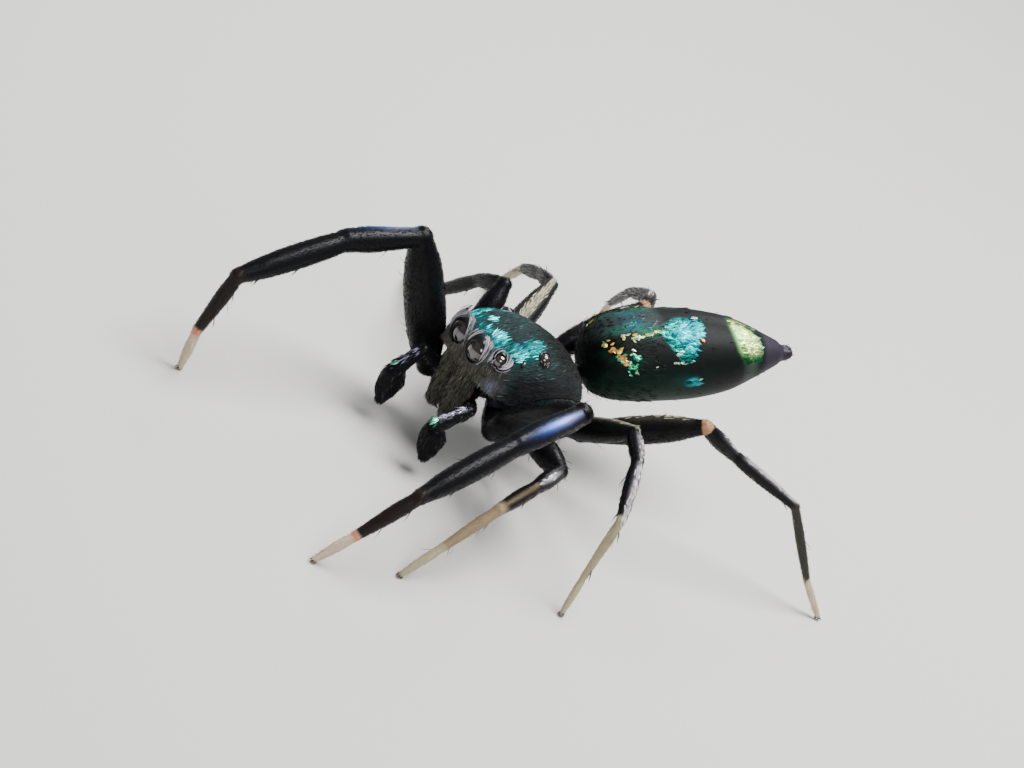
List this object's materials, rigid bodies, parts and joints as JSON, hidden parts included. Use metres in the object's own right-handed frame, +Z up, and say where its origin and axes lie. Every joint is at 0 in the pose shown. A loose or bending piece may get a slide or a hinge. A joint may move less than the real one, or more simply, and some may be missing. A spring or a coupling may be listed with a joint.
{
  "type": "male chrysilline jumping spider",
  "caption": "metallic green and turquoise jumping spider with long black front legs, a pointed abdomen and large front eyes, standing, life size",
  "frame": {"origin": "the middle of the box around the whole spider, on the floor it stands on", "axes": "the head points to -Y, the spider's left is +X and +Z is up"},
  "size_m": [0.0096, 0.0122, 0.0037],
  "materials": {
    "cuticle": "black, glossy, with a faint blue sheen",
    "abdomen": "metallic green and turquoise scales on black",
    "eye": "polished black lens"
  },
  "bodies": {
    "root": {"cephalothorax": "cuticle", "abdomen": "abdomen", "chelicera_left": "cuticle", "chelicera_right": "cuticle", "palp_left": "cuticle", "palp_right": "cuticle", "leg_1_left": "cuticle", "leg_2_left": "cuticle", "leg_3_left": "cuticle", "leg_4_left": "cuticle", "leg_1_right": "cuticle", "leg_2_right": "cuticle", "leg_3_right": "cuticle", "leg_4_right": "cuticle", "eye_front_middle_left": "eye", "eye_front_middle_right": "eye", "eye_front_side_left": "eye", "eye_front_side_right": "eye", "eye_small_left": "eye", "eye_small_right": "eye", "eye_rear_left": "eye", "eye_rear_right": "eye"}
  },
  "joints": []
}
